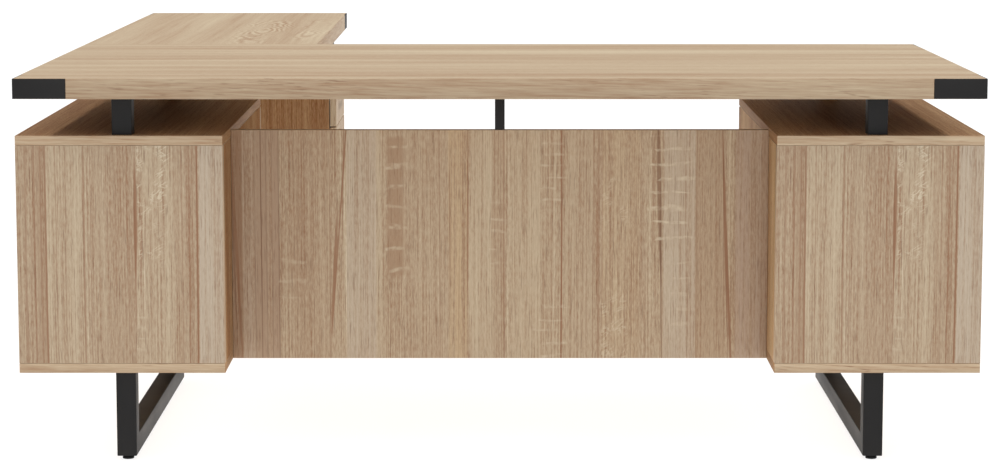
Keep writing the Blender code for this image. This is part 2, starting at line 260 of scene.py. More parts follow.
def turned_mesh(name, centres, axis, profile, direction=1, lobes=0, lobe_rows=(), segments=32):
    """Turned parts, one at each centre: radius(level) (cos a, sin a) at height(level) on an axis.

    On the lobed rows the radius is divided by cos(b), where b is the angle from the middle of the
    nearest flat, which makes a regular polygon of that many sides.
    """
    radii, heights = np.transpose(profile)
    angle = np.linspace(0.0, 2 * math.pi, segments, endpoint=False)
    radius = np.repeat(radii[:, None], segments, axis=1)
    if lobes:
        step = 2 * math.pi / lobes
        from_flat = (angle + step / 2) % step - step / 2
        rows = np.asarray(lobe_rows)
        radius[rows] = radius[rows] / np.cos(from_flat)
    if direction < 0:
        radius, heights = radius[::-1], -heights[::-1]
    level = np.broadcast_to(heights[:, None], radius.shape)
    part = np.stack((radius * np.cos(angle), radius * np.sin(angle), level), axis=-1)
    part = np.roll(part, AXES[axis] + 1, axis=2)
    meshes = [closed_mesh(name, part + np.asarray(centre)) for centre in centres]
    return join_meshes(name, meshes)


def join_meshes(name, meshes):
    """Several meshes in one, kept as separate shells."""
    vertices, faces = [], []
    for mesh in meshes:
        start = len(vertices)
        flat = np.empty(len(mesh.vertices) * 3)
        mesh.vertices.foreach_get("co", flat)
        vertices += flat.reshape(-1, 3).tolist()
        faces += [[start + corner for corner in face.vertices] for face in mesh.polygons]
    joined = bpy.data.meshes.new(name)
    joined.from_pydata(vertices, [], faces)
    joined.update()
    joined.shade_smooth()
    joined.set_sharp_from_angle(angle=SHARP)
    return joined


# ---- Finishes ----

def tint(red, green, blue):
    """A screen colour, 0 to 255, as the light it stands for."""
    channel = np.array((red, green, blue)) / 255.0
    light = np.where(channel <= 0.04045, channel / 12.92, ((channel + 0.055) / 1.055) ** 2.4)
    return (*light.tolist(), 1.0)


class Value:
    """A shader socket. Arithmetic on it adds Math nodes to its finish."""

    def __init__(self, finish, socket):
        self.finish = finish
        self.socket = socket

    def maths(self, operation, *terms):
        node = self.finish.node("Math", {"operation": operation}, dict(enumerate(terms)))
        return Value(self.finish, node.outputs[0])

    def __add__(self, other):
        return self.maths("ADD", self, other)

    def __sub__(self, other):
        return self.maths("SUBTRACT", self, other)

    def __mul__(self, other):
        return self.maths("MULTIPLY", self, other)

    def __truediv__(self, other):
        return self.maths("DIVIDE", self, other)

    def __rsub__(self, other):
        return self.maths("SUBTRACT", other, self)

    def __abs__(self):
        return self.maths("ABSOLUTE", self)

class Finish:
    """A material's nodes, with one call for any kind of node."""

    def __init__(self, name):
        self.material = bpy.data.materials.new(name)
        self.material.use_nodes = True
        self.tree = self.material.node_tree
        self.shader = self.tree.nodes["Principled BSDF"]

    def node(self, kind, settings=None, inputs=None):
        """Add a shader node: its settings first, then the values or links of its sockets."""
        made = self.tree.nodes.new("ShaderNode" + kind)
        for key, setting in (settings or {}).items():
            if key == "stops":
                ramp = made.color_ramp
                while len(ramp.elements) < len(setting):
                    ramp.elements.new(0.5)
                for element, (place, colour) in zip(ramp.elements, setting):
                    element.position = place
                    element.color = colour
            else:
                setattr(made, key, setting)
        for key, given in (inputs or {}).items():
            self.join(given, made.inputs[key])
        return made

    def join(self, given, socket):
        """Link a socket's output to an input, or set the input's own value."""
        if isinstance(given, Value):
            self.tree.links.new(given.socket, socket)
        else:
            socket.default_value = given

    def grain(self):
        """Metres along and across the grain, from the piece's own map."""
        place = self.node("UVMap", {"uv_map": "grain"})
        split = self.node("SeparateXYZ", {}, {0: Value(self, place.outputs[0])})
        return Value(self, split.outputs[0]), Value(self, split.outputs[1])

    def metres(self):
        """The three coordinates of the point in the desk's frame."""
        place = self.node("TexCoord")
        split = self.node("SeparateXYZ", {}, {0: Value(self, place.outputs["Object"])})
        return [Value(self, output) for output in split.outputs]

    def noise(self, x, y, z=0.0, detail=2.0, roughness=0.5, distortion=0.0):
        """Smooth noise about 0, roughly from -0.5 to 0.5, over three scaled coordinates."""
        place = self.node("CombineXYZ", {}, {0: x, 1: y, 2: z})
        made = self.node("TexNoise", {"noise_dimensions": "3D"}, {
            "Vector": Value(self, place.outputs[0]), "Scale": 1.0, "Detail": detail,
            "Roughness": roughness, "Distortion": distortion})
        return Value(self, made.outputs[0]) - 0.5

    def rise(self, value, low, high):
        """0 below low, 1 above high, and smooth between."""
        made = self.node("MapRange", {"interpolation_type": "SMOOTHSTEP"}, {
            "Value": value, "From Min": low, "From Max": high})
        return Value(self, made.outputs[0])

    def window(self, value, low, high, soft_low, soft_high):
        """1 between low and high, falling to 0 over the soft lengths outside them."""
        past = self.rise(value, high, high + soft_high)
        return self.rise(value, low - soft_low, low) * (1.0 - past)

    def ramp(self, value, stops):
        made = self.node("ValToRGB", {"stops": stops}, {0: value})
        return Value(self, made.outputs[0])

    def mix(self, factor, first, second, blend="MIX"):
        """One colour laid over another."""
        made = self.node("Mix", {"data_type": "RGBA", "blend_type": blend}, {
            0: factor, 6: first, 7: second})
        return Value(self, made.outputs[2])

    def bump(self, height, strength, distance):
        made = self.node("Bump", {}, {
            "Height": height, "Strength": strength, "Distance": distance})
        return Value(self, made.outputs[0])

    def surface(self, **sockets):
        """Set the shader's sockets, named with _ for a space, and give back the material."""
        for key, given in sockets.items():
            self.join(given, self.shader.inputs[key.replace("_", " ")])
        return self.material


# The colours of the oak's figure.
DEEP = tint(116, 80, 57)
RUST = tint(144, 104, 77)
BROWN = tint(158, 127, 100)
TAN = tint(177, 154, 128)
PALE = tint(191, 172, 145)
CREAM = tint(208, 193, 167)
PINK = tint(172, 148, 131)
OCHRE = tint(186, 153, 112)
GREY = tint(187, 171, 152)
OAK_STOPS = [(0.0, RUST), (0.25, BROWN), (0.5, TAN), (0.75, PALE), (1.0, CREAM)]
KNEE_PAINTED_SHADE = (0.70, 0.56, 0.44, 1.0)  # painted shade over the edge tape that faces the knee space

NARROW_BAND = 0.006      # metres: wider bands are made softer by the next two numbers
BAND_STRENGTH = 0.92
BAND_EVENNESS = 0.60
ARCH_LEG = 0.32          # how slowly an arch closes on its open side


def oak(name, seed, broad=0.55, streak=0.8, fine=1.50, fleck=1.00, pores=0.5, sway=0.006,
        gloss=0.22, tint_and_painted_light=None, bands=(), lenses=(), ladders=(), crackles=(), rings=()):
    """Pale sawn-oak laminate, from metres along and across the grain.

    Tone = 0.5 + four noises, each drawn out along the grain: wide bands, streaks of about 15 mm,
    fine lines of about 3 mm and short flecks. It picks a colour between reddish brown and cream.
    Over it lie bands (between two lines), lenses (a streak that tapers to both ends), ladders (pale
    rungs across the grain), crackles (broken pale flecks) and rings (the nested arches of a
    flat-sawn board), and short dark pores. The numbers beside along and across are how many times
    a figure repeats in a metre, and seed picks one run of it.
    """
    finish = Finish(name)
    along, across = finish.grain()
    bend = finish.noise(along * 1.7, across * 6.0, seed + 7.0, detail=1.0)
    bent = across + bend * sway
    wide = finish.noise(along * 0.45, bent * 11.0, seed, detail=2.0)
    streaks = finish.noise(along * 1.3, bent * 62.0, seed + 1.0, detail=3.0, roughness=0.6)
    lines = finish.noise(along * 2.2, bent * 290.0, seed + 2.0, detail=3.0, roughness=0.7)
    flecks = finish.noise(along * 70.0, bent * 330.0, seed + 10.0, detail=2.0, roughness=0.7)
    tone = wide * broad + streaks * streak + lines * fine + flecks * fleck + 0.5
    for across_at, along_at, reach, squash, spacing, strength in rings:
        wander = finish.noise(along * 7.0, across * 12.0, seed + 3.0, detail=2.0) * 0.06
        run = along - along_at
        closing, opening = run.maths("MAXIMUM", run, 0.0), run.maths("MINIMUM", run, 0.0)
        run = closing * squash + opening * squash * ARCH_LEG
        offset = across - across_at
        squared = run * run + offset * offset
        radius = squared.maths("SQRT", squared)
        turns = (radius + wander) * (2 * math.pi / spacing)
        patch = finish.rise(radius, reach, reach * 0.35)
        broken = finish.rise(finish.noise(along * 6.0, across * 14.0, seed + 12.0), -0.16, 0.12)
        tone = tone + turns.maths("SINE", turns) * patch * broken * strength
    colour = finish.ramp(tone, OAK_STOPS)
    mottled = finish.rise(streaks * 0.8 + lines * 0.9 + flecks * 0.2, -0.20, 0.18)
    for low, high, soft_low, soft_high, shade, strength, even in bands:
        mask = finish.window(bent, low, high, soft_low, soft_high)
        if high - low > NARROW_BAND:
            even, strength = even * BAND_EVENNESS, strength * BAND_STRENGTH
        colour = finish.mix(mask * (mottled * (1.0 - even) + even) * strength, colour, shade)
    for centre, half, start, end, lean, shade, strength in lenses:
        middle = (along - (start + end) / 2) / ((end - start) / 2)
        taper = 1.0 - middle * middle
        distance = abs(bent - ((along - start) * lean + centre))
        mask = finish.rise(taper * half - distance, 0.0, half * 0.6)
        colour = finish.mix(mask * (mottled * 0.4 + 0.6) * strength, colour, shade)
    for low, high, start, end, spacing, strength, backing in ladders:
        jitter = finish.noise(along * 30.0, across * 8.0, seed + 4.0) * spacing
        phase = (along + jitter) * (2 * math.pi / spacing)
        rung = finish.rise(phase.maths("SINE", phase), 0.66, 1.0)
        reach = finish.noise(along * 26.0, 3.0, seed + 5.0) * (high - low) * 2.2
        place = finish.window(along, start, end, 0.012, 0.012)
        cell = finish.window(across, low, high, 0.003, 0.012) * place
        colour = finish.mix(cell * (mottled * 0.5 + 0.5) * backing, colour, BROWN)
        mask = finish.window(across - reach, low, high, 0.004, 0.016) * rung * place
        breaks = finish.noise(along * 90.0, across * 70.0, seed + 6.0, detail=3.0)
        broken = finish.rise(breaks, -0.2, 0.16)
        colour = finish.mix(mask * broken * strength, colour, CREAM)
    for low, high, start, end, strength in crackles:
        lean = along * 88.0 - across * 50.0
        crack = abs(finish.noise(lean, across * 34.0 + along * 16.0, seed + 8.0, detail=2.0,
                                 roughness=0.6, distortion=0.5))
        patch = finish.rise(finish.noise(along * 30.0, across * 30.0, seed + 13.0), -0.08, 0.10)
        place = (finish.window(across, low, high, 0.003, 0.018)
                 * finish.window(along, start, end, 0.05, 0.012))
        colour = finish.mix((1.0 - finish.rise(crack, 0.01, 0.060)) * patch * place * strength,
                            colour, CREAM)
    dash = finish.noise(along * 17.0 + across * 16.0, bent * 400.0, seed + 9.0, detail=2.0,
                        roughness=0.6)
    pore = finish.rise(dash, 0.06, 0.20)
    colour = finish.mix(pore * pores, colour, DEEP)
    # The tint multiplies the colour: for the worktops and the pedestal panel it is the wood's own
    # tone, for the shaded boards below it is painted shade, for the modesty panel painted light.
    if tint_and_painted_light is not None:
        colour = finish.mix(1.0, colour, tint_and_painted_light, "MULTIPLY")
    relief = lines * 0.5 - pore
    return finish.surface(
        Base_Color=colour, Roughness=lines * 0.16 + 0.56, Specular_IOR_Level=gloss,
        Normal=finish.bump(relief, 0.16, 0.0004))


def edge_band(name, tint_and_painted_light=(1.0, 1.0, 1.0, 1.0), gloss=0.10, knee=None):
    """Laminate edge tape: its grain runs round the board, in short dark dashes that lean a little.

    knee is half the knee space's width: the tape on the two sides that face it is darker, a painted
    shade.
    """
    finish = Finish(name)
    along, across = finish.grain()
    leaning = across + along * 0.02
    wide = finish.noise(along * 2.2, leaning * 30.0, 4.0)
    streaks = finish.noise(along * 9.0, leaning * 230.0, 5.0, detail=3.0, roughness=0.65)
    tone = wide * 0.45 + streaks * 0.95 + 0.5
    colour = finish.ramp(tone, OAK_STOPS)
    dashes = finish.noise(along * 26.0 + across * 90.0, leaning * 340.0, 6.0, detail=2.0)
    dash = finish.rise(dashes, 0.06, 0.20)
    patch = finish.rise(finish.noise(along * 4.0, across * 20.0, 8.0), -0.06, 0.14)
    colour = finish.mix(dash * (patch * 0.50 + 0.16), colour, DEEP)
    colour = finish.mix(1.0, colour, tint_and_painted_light, "MULTIPLY")
    # Painted shade: the tape on the two sides inside the knee space is darkened.
    if knee:
        x = finish.metres()[0]
        outside = finish.rise(x * x, (knee + 0.0002) ** 2, (knee + 0.0012) ** 2)
        colour = finish.mix(outside, finish.mix(1.0, colour, KNEE_PAINTED_SHADE, "MULTIPLY"), colour)
    return finish.surface(
        Base_Color=colour, Roughness=streaks * 0.14 + 0.52, Specular_IOR_Level=gloss,
        Normal=finish.bump(streaks * 0.4 - dash, 0.14, 0.0004))


def drawer_laminate(name):
    """The smoother laminate of the drawer boxes: fine straight grain with little contrast."""
    finish = Finish(name)
    along, across = finish.grain()
    streaks = finish.noise(along * 1.6, across * 80.0, 21.0, detail=3.0, roughness=0.6)
    lines = finish.noise(along * 10.0, across * 520.0, 22.0, detail=2.0)
    colour = finish.ramp(streaks * 0.6 + lines * 0.35 + 0.5, [
        (0.0, tint(176, 150, 120)), (0.5, tint(198, 178, 148)), (1.0, tint(214, 199, 172))])
    return finish.surface(Base_Color=colour, Roughness=lines * 0.12 + 0.58, Specular_IOR_Level=0.22,
                          Normal=finish.bump(lines, 0.08, 0.0003))


def powder_coat(name):
    """Satin black powder coat over steel: an even fine orange-peel with faint dusty variation."""
    finish = Finish(name)
    x, y, z = finish.metres()
    peel = finish.noise(x * 900.0, y * 900.0, z * 900.0, detail=2.0)
    dust = finish.noise(x * 9.0, y * 9.0, z * 9.0, detail=3.0)
    colour = finish.ramp(dust * 0.9 + peel * 0.35 + 0.5, [
        (0.0, (0.0105, 0.0100, 0.0100, 1.0)), (0.5, (0.0160, 0.0152, 0.0152, 1.0)),
        (1.0, (0.0225, 0.0215, 0.0213, 1.0))])
    return finish.surface(Base_Color=colour, Roughness=dust * 0.18 + peel * 0.08 + 0.5,
                          Specular_IOR_Level=0.2, Normal=finish.bump(peel, 0.12, 0.0002))


def zinc_plate(name):
    """Zinc-plated steel: fine rolling lines along the runner and a faint cloudy passivation."""
    finish = Finish(name)
    x, y, z = finish.metres()
    rolled = finish.noise(x * 25.0, y * 25.0, z * 1400.0, detail=2.0)
    cloud = finish.noise(x * 30.0, y * 30.0, z * 30.0, detail=3.0)
    colour = finish.ramp(cloud + rolled * 0.5 + 0.5, [
        (0.0, (0.40, 0.41, 0.43, 1.0)), (0.5, (0.56, 0.57, 0.59, 1.0)),
        (1.0, (0.68, 0.68, 0.66, 1.0))])
    return finish.surface(Base_Color=colour, Roughness=rolled * 0.2 + cloud * 0.15 + 0.36,
                          Metallic=1.0, Normal=finish.bump(rolled, 0.06, 0.0002))


def moulded_plastic(name):
    """Matt black moulded plastic with a fine spark-eroded texture."""
    finish = Finish(name)
    x, y, z = finish.metres()
    spark = finish.noise(x * 1500.0, y * 1500.0, z * 1500.0, detail=2.0)
    cloud = finish.noise(x * 60.0, y * 60.0, z * 60.0)
    colour = finish.ramp(cloud + spark * 0.4 + 0.5, [
        (0.0, (0.008, 0.008, 0.008, 1.0)), (1.0, (0.022, 0.022, 0.022, 1.0))])
    return finish.surface(Base_Color=colour, Roughness=spark * 0.2 + 0.6, Specular_IOR_Level=0.25,
                          Normal=finish.bump(spark, 0.15, 0.0002))


def studio_floor(name):
    """Seamless white floor with the faintest unevenness."""
    finish = Finish(name)
    x, y, z = finish.metres()
    colour = finish.ramp(finish.noise(x * 2.0, y * 2.0, z) + 0.5, [
        (0.0, (0.90, 0.90, 0.90, 1.0)), (1.0, (0.93, 0.93, 0.93, 1.0))])
    return finish.surface(Base_Color=colour, Roughness=0.9, Specular_IOR_Level=0.0)


# In metres from a board's low corner:
# a band is (from, to, soft before, soft after, colour, strength, evenness), across the grain;
# a lens is (centre, half width, from, to along the grain, lean, colour, strength);
# a ladder is (from, to across, from, to along, spacing, strength, backing);
# a crackle is (from, to across, from, to along, strength);
# a ring is (centre across, centre along, reach, squash, spacing, strength).
PEDESTAL_BANDS = [
    (0.006, 0.036, 0.004, 0.008, BROWN, 0.24, 0.1),
    (0.016, 0.0182, 0.001, 0.001, RUST, 0.55, 0.5),
    (0.0325, 0.035, 0.001, 0.001, RUST, 0.6, 0.5),
    (0.04, 0.0565, 0.004, 0.0006, BROWN, 0.62, 0.2),
    (0.045, 0.047, 0.001, 0.0008, RUST, 0.6, 0.6),
    (0.0535, 0.0562, 0.001, 0.0005, RUST, 0.75, 0.6),
    (0.0578, 0.124, 0.0006, 0.012, PALE, 0.5, 0.45),
    (0.0745, 0.0757, 0.0006, 0.0006, RUST, 0.35, 0.6),
    (0.093, 0.0942, 0.0006, 0.0006, BROWN, 0.45, 0.4),
    (0.127, 0.129, 0.0008, 0.0008, RUST, 0.7, 0.6),
    (0.14, 0.1412, 0.0006, 0.0006, RUST, 0.45, 0.6),
    (0.148, 0.22, 0.006, 0.006, BROWN, 0.32, 0.05),
    (0.246, 0.2935, 0.01, 0.008, PALE, 0.4, 0.5),
    (0.3, 0.34, 0.008, 0.004, BROWN, 0.3, 0.1),
    (0.311, 0.3122, 0.0006, 0.0006, RUST, 0.4, 0.6),
    (0.325, 0.327, 0.0008, 0.0008, RUST, 0.65, 0.6),
    (0.34, 0.3422, 0.0008, 0.0006, RUST, 0.95, 0.9),
    (0.345, 0.392, 0.001, 0.01, GREY, 0.75, 0.72),
]
PEDESTAL_LENSES = [
    (0.225, 0.0046, 0.13, 0.42, 0.006, RUST, 1.0),
    (0.2245, 0.0016, 0.0, 0.44, 0.0, RUST, 0.85),
    (0.233, 0.0016, 0.12, 0.33, 0.03, RUST, 0.8),
    (0.24, 0.0014, 0.18, 0.35, 0.045, RUST, 0.55),
    (0.25, 0.0012, 0.16, 0.33, 0.05, RUST, 0.35),
    (0.217, 0.0012, 0.06, 0.33, 0.01, RUST, 0.45),
]
PEDESTAL_LADDERS = [(0.226, 0.236, 0.03, 0.1, 0.021, 0.35, 0.0)]
PEDESTAL_CRACKLES = [(0.23, 0.28, 0.33, 0.425, 0.8), (0.232, 0.268, 0.21, 0.34, 0.6)]
MODESTY_BANDS = [
    # The first band, and the last one, darken the panel's two ends where it meets the pedestals:
    # painted shade.
    (0.0, 0.018, 0.001, 0.006, RUST, 0.85, 0.45),
    (0.024, 0.09, 0.004, 0.003, PINK, 0.6, 0.3),
    (0.05, 0.0905, 0.01, 0.001, BROWN, 0.6, 0.05),
    (0.044, 0.0452, 0.0006, 0.0006, DEEP, 0.6, 0.0),
    (0.056, 0.0574, 0.0006, 0.0006, DEEP, 0.75, 0.0),
    (0.066, 0.0676, 0.0006, 0.0006, DEEP, 0.6, 0.0),
    (0.077, 0.0786, 0.0006, 0.0006, DEEP, 0.75, 0.05),
    (0.0905, 0.0921, 0.001, 0.0006, DEEP, 0.6, 0.25),
    (0.13, 0.19, 0.03, 0.008, BROWN, 0.3, 0.05),
    (0.224, 0.278, 0.001, 0.008, GREY, 0.65, 0.6),
    (0.284, 0.303, 0.006, 0.001, PALE, 0.45, 0.5),
    (0.344, 0.42, 0.01, 0.01, BROWN, 0.26, 0.1),
    (0.404, 0.4056, 0.0008, 0.0008, RUST, 0.5, 0.4),
    (0.426, 0.46, 0.006, 0.003, OCHRE, 0.5, 0.25),
    (0.464, 0.505, 0.003, 0.004, PALE, 0.65, 0.6),
    (0.508, 0.528, 0.004, 0.004, BROWN, 0.35, 0.1),
    (0.529, 0.5308, 0.0008, 0.0008, RUST, 0.7, 0.6),
    (0.545, 0.595, 0.004, 0.006, PALE, 0.65, 0.6),
    (0.6, 0.64, 0.01, 0.001, PALE, 0.3, 0.4),
    (0.6405, 0.643, 0.0008, 0.0008, RUST, 1.0, 0.85),
    (0.648, 0.7, 0.002, 0.006, TAN, 0.4, 0.3),
    (0.703, 0.7045, 0.0008, 0.0008, RUST, 0.5, 0.45),
    (0.713, 0.7152, 0.0008, 0.001, RUST, 0.65, 0.45),
    (0.721, 0.7226, 0.0008, 0.001, RUST, 0.5, 0.45),
    (0.724, 0.79, 0.004, 0.01, OCHRE, 0.22, 0.25),
    (0.842, 0.904, 0.003, 0.0006, GREY, 0.62, 0.6),
    (0.905, 0.956, 0.0006, 0.012, BROWN, 0.5, 0.3),
    (0.905, 0.9066, 0.0005, 0.001, BROWN, 0.8, 0.6),
    (0.984, 1.044, 0.004, 0.004, PINK, 0.8, 0.35),
    # Painted shade at the panel's right end, where it meets the pedestal.
    (1.034, 1.05, 0.006, 0.001, RUST, 0.55, 0.25),
]
MODESTY_LENSES = [
    (0.023, 0.0042, -0.1, 0.6, -0.045, RUST, 0.95),
    (0.013, 0.0026, -0.1, 0.6, -0.03, DEEP, 0.6),
    (0.192, 0.005, 0.01, 0.33, 0.05, RUST, 0.95),
    (0.193, 0.0022, 0.03, 0.7, 0.072, RUST, 0.95),
    (0.191, 0.0014, -0.1, 0.48, 0.0, RUST, 0.6),
    (0.214, 0.0018, 0.18, 0.7, 0.018, RUST, 0.8),
    (0.425, 0.0018, 0.08, 0.44, 0.0, RUST, 0.75),
    (0.459, 0.0024, 0.06, 0.48, 0.002, RUST, 0.95),
    (0.442, 0.0012, -0.05, 0.26, 0.004, RUST, 0.6),
    (0.839, 0.0056, 0.1, 0.56, -0.026, DEEP, 0.9),
    (0.841, 0.0018, -0.2, 0.44, -0.012, DEEP, 0.7),
    (0.82, 0.0018, 0.12, 0.6, 0.01, RUST, 0.6),
    (0.885, 0.0016, 0.2, 0.44, -0.01, RUST, 0.5),
    (0.983, 0.0036, -0.2, 0.56, -0.042, RUST, 1.0),
    (0.973, 0.0022, -0.1, 0.52, -0.032, RUST, 0.9),
    (0.962, 0.0016, 0.0, 0.48, -0.01, RUST, 0.5),
]
MODESTY_LADDERS = [
    (0.094, 0.136, 0.124, 0.205, 0.036, 0.3, 0.15),
    (0.305, 0.33, 0.17, 0.43, 0.041, 0.45, 0.8),
    (0.505, 0.522, 0.19, 0.3, 0.03, 0.35, 0.2),
    (0.606, 0.636, 0.3, 0.42, 0.022, 0.42, 0.05),
    (0.6, 0.636, -0.01, 0.11, 0.024, 0.42, 0.05),
    (0.82, 0.88, 0.225, 0.43, 0.029, 0.7, 0.1),
    (0.862, 0.884, 0.06, 0.19, 0.03, 0.38, 0.0),
]
MODESTY_CRACKLES = [(0.722, 0.762, 0.01, 0.12, 0.5), (0.722, 0.762, 0.29, 0.35, 0.4)]
RETURN_RINGS = [(0.352, 0.66, 0.078, 0.24, 0.012, 0.24), (0.47, 0.6, 0.045, 0.1, 0.016, 0.16)]

BLACK = powder_coat("black_powder_coat")
ZINC = zinc_plate("zinc_plated_steel")
PLASTIC = moulded_plastic("black_moulded_plastic")
BAND = edge_band("oak_edge_band")
# Painted light: the tape round the pedestals' tops and bottoms is made paler, to lift it out of the
# worktop's shade.
PAINTED_LIGHT_LIFT = (1.17, 1.18, 1.18, 1.0)
PAINTED_LIGHT_BAND = edge_band("oak_edge_band_painted_light", PAINTED_LIGHT_LIFT, 0.03)
PEDESTAL_BAND = edge_band("oak_pedestal_edge_band_painted_light_and_shade", PAINTED_LIGHT_LIFT, 0.03,
                          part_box("right_pedestal_top")[0].x)
BOX_OAK = drawer_laminate("drawer_box_laminate")
BOARD_OAK = oak("oak_board", seed=11.0)
# Painted shade: the next four boards face the knee space, stand on the return pedestal's sides or
# top the pedestals, and are tinted redder and darker for the shade they stand in.
INNER_SHADED_OAK = oak("oak_inner_board_painted_shade", seed=43.0, broad=0.9, streak=1.0, gloss=0.0,
                tint_and_painted_light=(0.80, 0.64, 0.50, 1.0))
RETURN_SIDE_SHADED_OAK = oak("oak_return_side_board_painted_shade", seed=53.0, broad=0.9, streak=1.0, gloss=0.0,
                      tint_and_painted_light=(0.70, 0.52, 0.38, 1.0))
KNEE_SIDE_SHADED_OAK = oak("oak_knee_side_board_painted_shade", seed=47.0, broad=0.9, streak=1.0, gloss=0.06,
               tint_and_painted_light=(1.10, 0.94, 0.74, 1.0))
SHELF_SHADED_OAK = oak("oak_shelf_board_painted_shade", seed=57.0, broad=0.8, gloss=0.06,
                tint_and_painted_light=(0.81, 0.63, 0.49, 1.0))
TOP_OAK = oak("oak_main_worktop", seed=23.0, broad=0.85, streak=0.55, fine=0.8, fleck=0.5,
              pores=0.25, sway=0.012, tint_and_painted_light=(1.02, 1.05, 1.05, 1.0))
RETURN_OAK = oak("oak_return_worktop", seed=31.0, broad=0.5, streak=0.35, fine=0.5, fleck=0.3,
                 pores=0.2, sway=0.02, tint_and_painted_light=(1.02, 1.05, 1.05, 1.0), rings=RETURN_RINGS)
PEDESTAL_OAK = oak("oak_pedestal_panel", seed=5.0, broad=0.2, streak=0.62, bands=PEDESTAL_BANDS,
                   lenses=PEDESTAL_LENSES, ladders=PEDESTAL_LADDERS, crackles=PEDESTAL_CRACKLES,
                   tint_and_painted_light=(1.02, 1.03, 1.04, 1.0))
# Painted light: the tint makes the modesty panel paler, to lift it out of the worktop's shade.
MODESTY_OAK = oak("oak_modesty_panel", seed=17.0, broad=0.30, streak=0.7, bands=MODESTY_BANDS,
                  lenses=MODESTY_LENSES, ladders=MODESTY_LADDERS, crackles=MODESTY_CRACKLES,
                  tint_and_painted_light=(1.10, 1.10, 1.09, 1.0))


# ---- Worktops and their corner accents ----

def angle_outline(x, y, inward_x, inward_y, reach, depth):
    """The inner side of an L at a corner: its two legs are reach long and depth thick."""
    steps = [(reach, 0), (reach, depth), (depth, depth), (depth, reach), (0, reach)]
    return [(x + inward_x * a, y + inward_y * b) for a, b in steps]


def worktop(node, corners, grain, finish):
    """A worktop with rounded edge bands and a rebate at each accent.

    corners go round the top as (x, y, inward x, inward y), with 0, 0 where there is no accent.
    """
    low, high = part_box(node)
    accent_low, accent_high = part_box("accent_front_left")
    reach = accent_high.x - accent_low.x + GAP
    outline = []
    for x, y, inward_x, inward_y in corners:
        if not inward_x:
            outline.append((x, y))
            continue
        cut = angle_outline(x, y, inward_x, inward_y, reach, ACCENT_PLATE + GAP)
        outline += cut if inward_x * inward_y < 0 else cut[::-1]
    mesh = slab_mesh(node + "_board", outline, low.z, high.z, "Z", grain, WORKTOP_EDGE)
    piece(node + "_board", mesh, "desk", (finish, BAND), (node,))


def worktops():
    """Both worktops. The main one has no accent at the seam, where the return joins it."""
    low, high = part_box("main_top")
    worktop("main_top", [(low.x, low.y, 1, 1), (high.x, low.y, -1, 1), (high.x, high.y, -1, -1),
                         (low.x, high.y, 0, 0)], "X", TOP_OAK)
    low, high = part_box("return_top")
    worktop("return_top", [(low.x, low.y, 0, 0), (high.x, low.y, 0, 0), (high.x, high.y, -1, -1),
                           (low.x, high.y, 1, -1)], "Y", RETURN_OAK)


def accents():
    """The five folded steel plates let into the worktops' corners."""
    for node, inward_x, inward_y in (
            ("accent_front_left", 1, 1), ("accent_front_right", -1, 1),
            ("accent_back_right", -1, -1), ("accent_return_left", 1, -1),
            ("accent_return_right", -1, -1)):
        low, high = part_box(node)
        x = low.x if inward_x > 0 else high.x
        y = low.y if inward_y > 0 else high.y
        inner = angle_outline(x, y, inward_x, inward_y, high.x - low.x, ACCENT_PLATE)
        outline = [(x, y)] + inner
        mesh = slab_mesh(node + "_plate", outline, low.z, high.z, "Z", "X", ACCENT_EDGE)
        piece(node + "_plate", mesh, "desk", (BLACK, BLACK), (node,))


# ---- Screen panel and centre post ----

def screen():
    """The modesty panel and the post that stands on it."""
    low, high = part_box("modesty_panel")
    board("modesty_panel_board", low, high, "Y", "Z", "desk", (MODESTY_OAK, BAND),
          ("modesty_panel",))
    low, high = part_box("centre_support")
    board("centre_post", low, high, "Z", "Y", "desk", (BLACK, BLACK),
          ("centre_support",), edge=POST_EDGE)


# ---- Pedestals ----

def along_axis(travel):
    """Unit vectors of a pedestal: the way its drawers open, and across it."""
    return np.eye(3)[AXES[travel]], np.eye(3)[AXES[ACROSS[travel]]]


def carcass(name, travel, shift):
    """The five boards of a pedestal. Its panels' grain stands, its top's and bottom's runs back."""
    across = ACROSS[travel]
    # The boards that face the knee space, the return pedestal's sides and the tops take the oaks
    # with painted shade; the tops' and bottoms' tape has painted light.
    side_a, side_b, band = {
        "left": (BOARD_OAK, INNER_SHADED_OAK, PEDESTAL_BAND),
        "right": (KNEE_SIDE_SHADED_OAK, BOARD_OAK, PEDESTAL_BAND),
        "return": (RETURN_SIDE_SHADED_OAK, RETURN_SIDE_SHADED_OAK, PAINTED_LIGHT_BAND)}[name]
    parts = [("top", "Z", travel, SHELF_SHADED_OAK), ("bottom", "Z", travel, BOARD_OAK),
             ("back", travel, "Z", PEDESTAL_OAK),
             ("side_a", across, "Z", side_a), ("side_b", across, "Z", side_b)]
    for count, (part, axis, grain, finish) in enumerate(parts):
        node = f"{name}_pedestal_{part}"
        low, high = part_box(node)
        moved = (shift + 0.9 * count, 0.6 * shift + 1.3 * count)
        if part == "back":
            moved = (0.0, 0.0)       # its figure is placed from the board's corner
        board(node + "_board", low, high, axis, grain, "desk",
              (finish, band if axis == "Z" else BAND), (node,), moved)


def u_path(origin, along, ends, out, tip, bend):
    """A U's four corners: from tip to bend along out at its first end, and back at its last."""
    first, last = ends
    return [origin + along * place + out * level
            for place, level in ((first, tip), (first, bend), (last, bend), (last, tip))]


